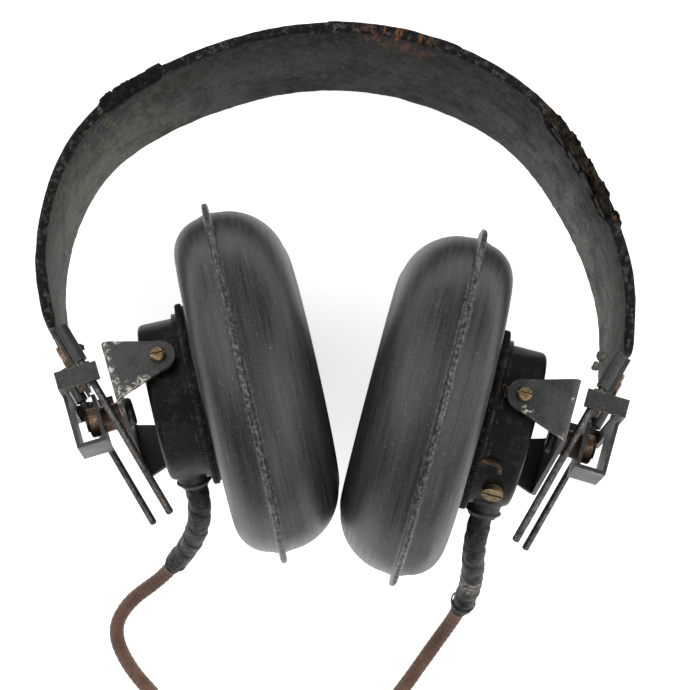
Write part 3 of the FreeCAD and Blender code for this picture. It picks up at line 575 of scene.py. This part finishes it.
def headband(material):
    """The leather sleeve: creased, with laps, a torn stretch on the right and ragged ends."""
    section = band_section()
    fine, line, outward = band_centre_line(0.9)
    points, marks = [], []
    last = len(fine) - 1
    for i, (s, centre, normal) in enumerate(zip(fine, line, outward)):
        torn = bump_window(s, TORN_FROM, TORN_TO)
        folded = bump_window(s, FOLD_FROM, FOLD_TO, 2.2)
        lap = 0.45 * bump_window(s, LAP_FROM, LAP_TO, 0.8)
        end = max(0.0, 1 - min(s, fine[-1] - s) / 5.0)
        for w, t in section:
            rise = (0.22 * rough_noise(s, w, 0, 0.045) + 0.13 * rough_noise(s, w, t * 3, 0.21)
                    + (0.06 + 0.12 * torn) * rough_noise(s, w, t * 3, 0.75))
            mark = torn_amount(s, w)
            side = 1.0 if t > 0 else -1.0
            upper = max(0.0, (w - 16) / 9)
            if side > 0:
                rise += torn * upper * 1.5 * max(0.0, rough_noise(s, w, 4, 0.25)) + lap
                rise += folded * upper * 0.8
            elif mark > 0:
                rise -= 1.25 * mark
            elif mark < 0:
                rise += 0.9 * -mark
            elif torn:
                rise += 0.45 * torn_amount(s, w + 1.6)
            thick = t + side * rise
            across = w + 0.35 * rough_noise(s, 0, 9, 0.12) + 0.16 * rough_noise(s, 5, 9, 0.6)
            across += upper * torn * 1.2 * rough_noise(s, 2, 1, 0.3)
            if w < -22:
                across -= 0.8 * max(0.0, rough_noise(s, 6, 3, 0.35) - 0.15)
            along = centre + normal * thick * (1.0 - 0.35 * end ** 2)
            if i in (0, last):
                step_out = line[1] - line[0] if i == 0 else line[-1] - line[-2]
                along = along + step_out * 0.9 * rough_noise(w * 2, 3, i, 0.3)
            points.append(head_point(along[0], along[1], across) * MM)
            marks.append(mark if t < 1.0 else 0.0)
    rows, columns = len(fine), len(section)
    faces, corners = grid(rows, columns)
    # V: 0 to 1 up the inside, 1 to 2 down the outside
    width = [w / (2 * BAND_HALF_WIDTH) for w, _ in section] + [-0.5]
    uvs = []
    for k, (a, b) in enumerate(corners):
        column = corners[k - k % 4][1]
        v = 1.5 - width[b] if column < FLAT_POINTS else 0.5 + width[b]
        uvs.append((fine[a] / fine[-1], v))
    for row in (0, rows - 1):
        faces.append([row * columns + j for j in range(columns)])
        uvs.extend([(fine[row] / fine[-1], 0.5)] * columns)
    thing = make_mesh("band_leather", points, faces, material, uvs)
    layer = thing.data.attributes.new("torn", "FLOAT", "POINT")
    layer.data.foreach_set("value", marks)
    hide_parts("band_cover")
    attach(thing, "headband")


def leather_flakes(material):
    """Loose flakes of leather along the torn stretch and the fold, each a small curled scrap."""
    fine, line, outward = band_centre_line(0.9)
    points, faces, uvs = [], [], []

    def scrap(s, w, side, length, width, curl, turn):
        rows, columns = 7, 6
        first = len(points)
        i = int(np.clip(np.searchsorted(fine, s), 1, len(fine) - 2))
        centre, normal = line[i], outward[i]
        tangent = np.array([normal[1], -normal[0]])
        for layer in (0.0, 0.35):
            for r in range(rows):
                for c in range(columns):
                    a = (c / (columns - 1) - 0.5) * length
                    b = r / (rows - 1)
                    trim = 1 + 0.35 * rough_noise(s + a * 2, w, r, 0.35)
                    edge = 0.35 * rough_noise(a * 3, b * 9, s, 0.8) * b
                    run = a * (1 - 0.35 * b * b) + turn * b * width * 0.4
                    up = w + b * width * trim
                    lift = side * (COVER_HALF + 0.15 + layer + curl * b * b + edge)
                    place = centre + tangent * run + normal * lift
                    points.append(head_point(place[0], place[1], up) * MM)
        for r in range(rows - 1):
            for c in range(columns - 1):
                for layer in (0, 1):
                    q = first + layer * rows * columns + r * columns + c
                    faces.append([q, q + 1, q + columns + 1, q + columns])
                    uvs.extend([(0.7 + 0.01 * a, 0.6 + 0.01 * b) for a, b in
                                ((c, r), (c + 1, r), (c + 1, r + 1), (c, r + 1))])
        rim = ([r * columns for r in range(rows)] + [(rows - 1) * columns + c for c in range(1, columns)]
               + [r * columns + columns - 1 for r in range(rows - 2, -1, -1)]
               + [c for c in range(columns - 2, 0, -1)])
        for a, b in zip(rim, rim[1:] + rim[:1]):
            over = rows * columns
            faces.append([first + a, first + b, first + b + over, first + a + over])
            uvs.extend([(0.7, 0.6)] * 4)

    for k in range(13):
        s = 227 + 33 * k / 12 + RANDOM.uniform(-1.5, 1.5)
        depth = RANDOM.uniform(2.0, 4.5)
        scrap(s, BAND_HALF_WIDTH - 1.0 - depth, -1 if k % 3 else 1, RANDOM.uniform(3.0, 7.0), depth,
              RANDOM.uniform(0.0, 0.6), RANDOM.uniform(-1, 1))
    for k in range(4):
        scrap(76 + 5.6 * k, 21.5, 1, RANDOM.uniform(4, 8), 3.0, RANDOM.uniform(0.1, 0.5), 0.2)
    thing = make_mesh("leather_flakes", points, faces, material, uvs)
    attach(thing, "headband")


def lump(name, centre, size, material, body):
    """A small knobbly lump of old leather or dirt."""
    work = bmesh.new()
    bmesh.ops.create_icosphere(work, subdivisions=4, radius=1.0)
    points = []
    for vertex in work.verts:
        p = vertex.co
        swell = (1 + 0.45 * noise.noise(p * 1.7 + Vector(centre)) + 0.30 * noise.noise(p * 3.6)
                 + 0.14 * noise.noise(p * 9.0))
        points.append([(centre[k] + p[k] * swell * size[k]) * MM for k in range(3)])
    faces = [[v.index for v in f.verts] for f in work.faces]
    work.free()
    thing = make_mesh(name, points, faces, material)
    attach(thing, body)


# ---- ear cushions and capsule trim ---------------------------------------------------------------
def cushion_profile():
    """The moulded ring's section as (x, radius), with the seam in the middle of the list."""
    points = [(-13.4, 25.7), (-13.4, 26.9)]
    points += line_points((-13.4, 26.9), (-12.3, 27.2), 2)
    points += line_points((-12.3, 27.2), (-12.0, 39.0), 14)
    points += arc((-12.0, 39.0), (-9.6, 47.9), (-3.6, 51.4), 16)
    points += line_points((-3.6, 51.4), (-1.25, 52.3), 5)
    back = points + [(-1.1, 52.5), (-1.0, 53.4), (-0.95, 54.6), (-0.7, 55.3), (-0.25, 55.5)]
    points = [(0.25, 55.5), (0.7, 55.3), (0.95, 54.6), (1.0, 53.4), (1.1, 52.5)]
    points += line_points((1.1, 52.5), (6.0, 52.0), 6)
    points += arc((6.0, 52.0), (15.2, 47.4), (20.6, 38.0), 24)
    points += arc((20.6, 38.0), (20.4, 28.6), (17.6, 25.0), 14)
    points += line_points((17.6, 25.0), (-7.0, 25.0), 8)
    points += line_points((-7.0, 25.0), (-7.2, 21.2), 3)
    points += [(-12.1, 21.2), (-12.15, 25.7)]
    return back, points


def ear_cushion(side, material):
    spec = SIDES[side]
    back, front = cushion_profile()
    profile = back + front
    seam_low, seam_high = len(back) - 5, len(back) + 5
    seed = 3.0 if side == "left" else 41.0
    spread = [0.0]
    for (x0, r0), (x1, r1) in zip(profile, profile[1:]):
        spread.append(spread[-1] + math.hypot(x1 - x0, r1 - r0))
    middle = (spread[len(back) - 1] + spread[len(back)]) / 2
    along = [0.5 + (d - middle) / 230.0 for d in spread]

    def wobble(i, angle):
        c, s = math.cos(angle) * 20, math.sin(angle) * 20
        swell = 0.16 * rough_noise(c, s, seed, 0.09) + 0.03 * rough_noise(c * 3, s * 3, i + seed, 0.2)
        if not seam_low <= i < seam_high:
            return 0.0, swell
        height = 1.0 if profile[i][1] > 53 else 0.3
        ragged = 0.32 * rough_noise(c * 3, s * 3, seed, 0.35) + 0.22 * rough_noise(c * 9, s * 9, seed, 0.5)
        nick = max(0.0, rough_noise(c * 4, s * 4, seed + 7, 0.28) - 0.42) * 2.4
        shift = 0.22 * rough_noise(c, s, seed + 3, 0.22) + 0.10 * rough_noise(c * 5, s * 5, seed, 0.5)
        return shift * height, height * (ragged - nick)

    axes = basis(spec["cup"], spec["pivot"], side == "right")
    thing = lathe("cushion_" + side, profile, 420, spec["seam"], axes, material, wobble, True, along)
    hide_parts("ear_cushion_" + side)
    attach(thing, "cup_" + side)


def ribbed_edge(side, material):
    """Fine ribs milled round the edge of the cap's flange."""
    spec = SIDES[side]
    ribs, depth = 150, 0.26
    inner, outer = FLANGE_RADIUS - 0.25, FLANGE_RADIUS + 0.28
    profile = [(FLANGE_BACK + 0.1, inner), (FLANGE_BACK + 0.2, outer - 0.1), (FLANGE_BACK + 0.45, outer),
               (FLANGE_FRONT - 0.45, outer), (FLANGE_FRONT - 0.2, outer - 0.1), (FLANGE_FRONT - 0.1, inner)]

    def wobble(i, angle):
        if i in (0, 5):
            return 0.0, 0.0
        return 0.0, depth * (0.5 + 0.5 * math.cos(angle * ribs)) - depth

    axes = basis(spec["cup"], spec["pivot"], side == "right")
    thing = lathe("ribbed_edge_" + side, profile, 1200, spec["pivot_at"], axes, material, wobble)
    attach(thing, "cup_" + side)


def level_and_up(axis):
    """Two directions square to a can's axis: the level one towards the cords, and the upward one."""
    level = Vector((0, 0, 1)).cross(axis).normalized()
    if level.y > 0:
        level = -level
    up = axis.cross(level).normalized()
    return level, -up if up.z < 0 else up


def gland_axis(side):
    """Outwards from the can along its cord gland, in the row frame."""
    drop = math.radians(SIDES[side]["gland_drop"])
    level, up = level_and_up(Vector(SIDES[side]["cup"]))
    return level * math.cos(drop) - up * math.sin(drop)


def gland_sleeve(side, material):
    """Worn conical sleeve between the can and the gland's collar, and the collar's rolled rim."""
    length = 6.2
    out = gland_axis(side)
    mouth = Vector(SIDES[side]["route"][0])
    start = mouth - out * 5.6
    seed = 2.0 if side == "left" else 17.0

    def radius(distance, angle):
        t = min(distance / length, 1.0)
        cone = 6.3 - 1.9 * min(t / 0.55, 1.0)
        collar = 1.25 * math.exp(-((t - 0.74) / 0.13) ** 2)
        crease = 0.22 * rough_noise(distance, math.cos(angle) * 5, math.sin(angle) * 5 + seed, 0.45)
        return cone + collar + crease

    line = [np.array(start + out * (length * k / 24)) for k in range(25)]
    thing = tube("gland_sleeve_" + side, line, radius, 48, material)
    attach(thing, "cup_" + side)


def cap_lug(material):
    """Bent lug lying along the right-hand can behind the flange, and a crust of rust by the fork."""
    spec = SIDES["right"]
    axis = Vector(spec["cup"]).normalized()
    level, up = level_and_up(axis)

    def on_can(x, degrees, radius):
        turn = math.radians(degrees)
        return tuple(Vector(spec["pivot_at"]) + axis * x
                     + (up * math.cos(turn) + level * math.sin(turn)) * radius)

    corners = [on_can(6.9, 26, 24.9), on_can(3.8, 26, 25.1), on_can(1.2, 27, 25.1), on_can(0.9, 33, 24.9)]
    line = curve_points(corners, 0.3)
    thing = tube("cap_lug", line, lambda distance, angle: 0.8 + 0.12 * math.cos(4 * angle), 24, material)
    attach(thing, "cup_right")
    crust = on_can(5.4, -24, 24.4)
    lump("cap_rust", crust, (1.2, 1.9, 1.1), material, "cup_right")


# ---- cords ---------------------------------------------------------------------------------------
def braid_radius(diameter, strands, length):
    """Radius of a braided cord as a function of distance and angle: diamonds of crossing strands."""
    def radius(distance, angle):
        turn = 2 * math.pi * distance / length
        weave = math.sin(strands * angle + turn) * math.sin(strands * angle - turn)
        uneven = rough_noise(distance, math.cos(angle) * 2, math.sin(angle) * 2, 0.16)
        return diameter / 2 * (0.965 + 0.045 * weave + 0.03 * uneven)
    return radius


def tape_radius(total, seed):
    """Radius of the wound tape: overlapping turns, creases and a ragged far end."""
    def radius(distance, angle):
        wind = (distance / 8.5 + angle / (2 * math.pi)) % 1.0
        x, y = math.cos(angle) * 3.5, math.sin(angle) * 3.5
        crease = 0.30 * rough_noise(distance, x, y + seed, 0.30)
        fold = 0.16 * abs(rough_noise(distance * 2.2, x, y + seed, 0.45))
        ragged = total - 1.4 + 0.9 * rough_noise(0, x, y + seed, 0.5)
        end = min(max((ragged - distance) / 0.9, 0.0), 1.0)
        body = TAPE_DIAMETER / 2 * 0.94 - 0.20 * wind + crease - fold
        return 2.75 + (body - 2.75) * end
    return radius


def inside(line, start, end):
    """Two points of the line, in metres, that many millimetres inside its ends."""
    step = line_length(line) / (len(line) - 1)
    first, last = int(round(start / step)), len(line) - 1 - int(round(end / step))
    return [c * MM for c in line[first]], [c * MM for c in line[last]]


def cord_and_tape_end(side):
    """Points along one earphone's cord, and the number of the one where its tape ends."""
    route = SIDES[side]["route"]
    whole = curve_points(route, 0.35)
    middle = (np.array(route[3]) + np.array(route[4])) / 2
    return whole, int(np.argmin(np.linalg.norm(whole - middle, axis=1)))


def branch_cord(side, tape_material, braid_material):
    """One earphone's cord in three lengths: the taped length and two lengths of braid."""
    whole, split = cord_and_tape_end(side)
    bare = len(whole) - split
    second = split + int(bare * 0.48)
    seed = 5.0 if side == "left" else 23.0
    taped, upper, lower = whole[:split + 4], whole[split:second + 1], whole[second:]
    tape = tube("tape_" + side, taped, tape_radius(line_length(taped), seed), 56, tape_material)
    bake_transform(tape)
    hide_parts("cord_tape_" + side)
    weave = braid_radius(BRANCH_DIAMETER, 6, 4.2)
    braid = tube("braid_upper_" + side, upper, weave, 48, braid_material)
    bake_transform(braid)
    rest = tube("braid_lower_" + side, lower, weave, 48, braid_material, line_length(upper))
    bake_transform(rest)
    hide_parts("cord_branch_" + side)


def coil_points():
    """Five turns of cord in two layers: in along the table, up at the middle, and out on top."""
    cx, cy = COIL_CENTRE
    points = []
    first, total = math.radians(-104), 5.04
    for k in range(0, 361):
        t = total * k / 360
        if t < 2:
            radius = COIL_OUTER - COIL_PITCH * t
        elif t < 3.02:
            radius = COIL_INNER
        else:
            radius = COIL_INNER + COIL_PITCH * (t - 3.02)
        rise = min(max((t - 1.98) / 0.24, 0.0), 1.0)
        height = 3.1 + COIL_PITCH * rise * rise * (3 - 2 * rise)
        angle = first + 2 * math.pi * t
        points.append((cx + radius * math.cos(angle), cy + radius * math.sin(angle), height))
    return points


def main_cord(material):
    """Splitter to plug: the laid run, the coil and the tail, as one cord."""
    corners = MAIN_ROUTE[:-1] + coil_points() + TAIL_ROUTE[1:]
    line = curve_points(corners, 0.7)
    thing = tube("braid_main", line, braid_radius(MAIN_DIAMETER, 7, 4.8), 32, material)
    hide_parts("cord_main", "cord_coil", "cord_tail")
    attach(thing, "headband")


def thread_ring(material):
    """Two turns of pale thread tied round the right-hand tape near its end."""
    whole, tape_end = cord_and_tape_end("right")
    at = tape_end - 9
    centre, along = whole[at], whole[at + 1] - whole[at - 1]
    along /= np.linalg.norm(along)
    side = np.cross(along, [0, 0, 1.0])
    side /= np.linalg.norm(side)
    other = np.cross(along, side)
    line = []
    for k in range(97):
        angle = 4 * math.pi * k / 96
        radius = 3.9 + 0.25 * math.sin(3 * angle)
        line.append(centre + (side * math.cos(angle) + other * math.sin(angle)) * radius
                    + along * (k / 96 - 0.5) * 0.9)
    thing = tube("thread_ring", line, lambda distance, angle: 0.24, 8, material)
    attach(thing, "fork_right")


# ---- putting the scene together ------------------------------------------------------------------
def fork_corner(side, x, y, z):
    """A point of the fork's own frame in the row frame, millimetres."""
    spec = SIDES[side]
    axes = basis(spec["stud"], spec["pivot"], side == "right")
    return tuple(np.array(spec["pivot_at"]) + np.array([x, y, z]) @ axes)


def fork_chips(side):
    """Where the paint is chipped on each fork: centre and radius, millimetres."""
    top = FORK_HALF_HEIGHT
    if side == "left":
        places = [(FORK_BACK, 9.0, top, 3.6), (FORK_BACK, 5.0, top, 3.0), (FORK_BACK, 0.5, top, 2.6),
                  (FORK_BACK, -4.0, top, 3.0), (FORK_BACK + 1, -9.3, top, 4.2),
                  (FORK_BACK + 5, -8.0, top, 3.6), (FORK_BACK + 9, -6.7, top, 2.6),
                  (FORK_BACK + 5, 8.6, top, 1.8), (FORK_BACK, -8.0, 20.0, 4.0)]
    else:
        places = [(-1.6, -4.2, top, 1.7), (-2.8, -3.6, top, 1.2), (FORK_BACK + 1.5, -9.2, top, 1.6),
                  (FORK_BACK + 1.0, 3.0, top, 1.2)]
    return [(fork_corner(side, x, y, z), radius) for x, y, z, radius in places]


# rust on the inner ends of the brackets' upper straps
STRAP_RUST = [((-67.0, -21.5, 83.0), 7.0), ((74.5, -30.5, 83.0), 8.0), ((66.0, -36.0, 80.0), 5.0)]


# centre and half size of the crusts at the leather's ragged ends
CRUSTS = {
    "crust_left_a": ((-78.2, -11.8, 71.0), (1.7, 1.4, 1.3)),
    "crust_left_b": ((-75.0, -15.0, 66.0), (1.2, 1.1, 1.3)),
    "crust_right_a": ((80.0, -17.5, 68.0), (1.5, 1.3, 1.4)),
    "crust_right_b": ((78.2, -20.5, 69.0), (1.1, 1.3, 1.0)),
}


def build_materials():
    made = {
        "leather": leather(),
        "rubber": rubber(),
        "cloth_tape": cloth_tape(),
        "cotton_braid": cotton_braid(),
        "spring_steel": bare_metal("spring_steel", (0.20, 0.18, 0.16), (0.07, 0.055, 0.04), 0.5,
                                   rust=0.45),
        "rod_steel": bare_metal("rod_steel", (0.105, 0.102, 0.096), (0.030, 0.028, 0.024), 0.7,
                                rust=0.08),
        "rusty_steel": bare_metal("rusty_steel", (0.10, 0.075, 0.055), (0.035, 0.024, 0.016), 0.7,
                                  rust=0.42),
        "copper": bare_metal("copper", (0.25, 0.165, 0.110), (0.075, 0.052, 0.036), 0.7, rust=0.12),
        "old_brass": bare_metal("old_brass", (0.25, 0.185, 0.100), (0.085, 0.062, 0.036), 0.6, 0.36),
        "magnet_iron": bare_metal("magnet_iron", (0.20, 0.19, 0.18), (0.09, 0.085, 0.08), 0.4),
        "winding": bare_metal("winding", (0.55, 0.27, 0.13), (0.25, 0.11, 0.05), 0.3),
        "diaphragm_steel": bare_metal("diaphragm_steel", (0.33, 0.32, 0.30), (0.13, 0.12, 0.11), 0.3),
        "plug_brass": bare_metal("plug_brass", (0.60, 0.45, 0.20), (0.25, 0.17, 0.07), 0.3, 0.28),
        "dark_paint": painted("dark_paint", (0.022, 0.0225, 0.022), STRAP_RUST, (0.17, 0.10, 0.060),
                              wear=1.0),
        "can_paint": painted("can_paint", (0.0034, 0.0036, 0.0038), rough=0.40, wear=0.6, shine=0.16),
        "gland_black": plain_dark("gland_black", (0.018, 0.0175, 0.017), 0.5),
        "plug_black": plain_dark("plug_black", (0.018, 0.018, 0.018), 0.32),
    }
    for side in SIDES:
        made["fork_" + side] = painted("fork_paint_" + side, (0.030, 0.031, 0.031), fork_chips(side))
    return made


def dress_cad(materials):
    """Gives every carried-over CAD node the material of its slot."""
    slots = {entry["node"]: entry["material_slot"] for entry in frame["record"]["subparts"]}
    for name, thing in frame["nodes"].items():
        chosen = materials.get(name) or materials[slots[name]]
        thing.data.materials.clear()
        thing.data.materials.append(chosen)


# name, place, size and watts of each softbox
LAMPS = [("key", (-0.80, 0.45, 1.00), 1.7, 14.0), ("fill", (0.95, -0.05, 0.95), 1.7, 12.0),
         ("front", (0.25, -1.1, 0.85), 0.9, 4.0)]


def area_light(name, place, target, size, power):
    data = bpy.data.lights.new(name, "AREA")
    data.shape = "DISK"
    data.size = size
    data.energy = power
    lamp = bpy.data.objects.new(name, data)
    lamp.location = place
    lamp.rotation_euler = (Vector(target) - Vector(place)).to_track_quat("-Z", "Y").to_euler()
    bpy.context.scene.collection.objects.link(lamp)


def studio():
    """Pale floor, soft light all round, and the camera straight above."""
    floor = make_mesh("floor", [(-4, -4, 0), (4, -4, 0), (4, 4, 0), (-4, 4, 0)], [[0, 1, 2, 3]],
                      floor_material(), None, False)
    floor.location.z = -0.0003
    world = bpy.data.worlds.new("studio")
    world.use_nodes = True
    world.node_tree.nodes["Background"].inputs["Color"].default_value = (1, 1, 1, 1)
    world.node_tree.nodes["Background"].inputs["Strength"].default_value = 0.30
    bpy.context.scene.world = world
    for name, place, size, power in LAMPS:
        area_light(name, place, (0, 0, 0.05), size, power)
    bpy.context.scene.view_settings.view_transform = "Standard"
    data = bpy.data.cameras.new("camera")
    data.sensor_fit = "HORIZONTAL"
    data.sensor_width = 36.0
    data.lens = 95.0
    data.clip_start = 0.05
    camera = bpy.data.objects.new("camera", data)
    camera.location = (0.0025, -0.0142, 0.600)
    bpy.context.scene.collection.objects.link(camera)
    bpy.context.scene.camera = camera


def main():
    materials = build_materials()
    dress_cad(materials)
    headband(materials["leather"])
    leather_flakes(materials["leather"])
    pale = plain_dark("pale_crust", (0.095, 0.088, 0.072), 0.8)
    for name, (centre, size) in CRUSTS.items():
        lump(name, centre, size, pale, "headband")
    for side in SIDES:
        ear_cushion(side, materials["rubber"])
        ribbed_edge(side, materials["can_paint"])
        gland_sleeve(side, materials["gland_black"])
        branch_cord(side, materials["cloth_tape"], materials["cotton_braid"])
    main_cord(materials["cotton_braid"])
    cap_lug(materials["rusty_steel"])
    thread_ring(pale)
    studio()


main()
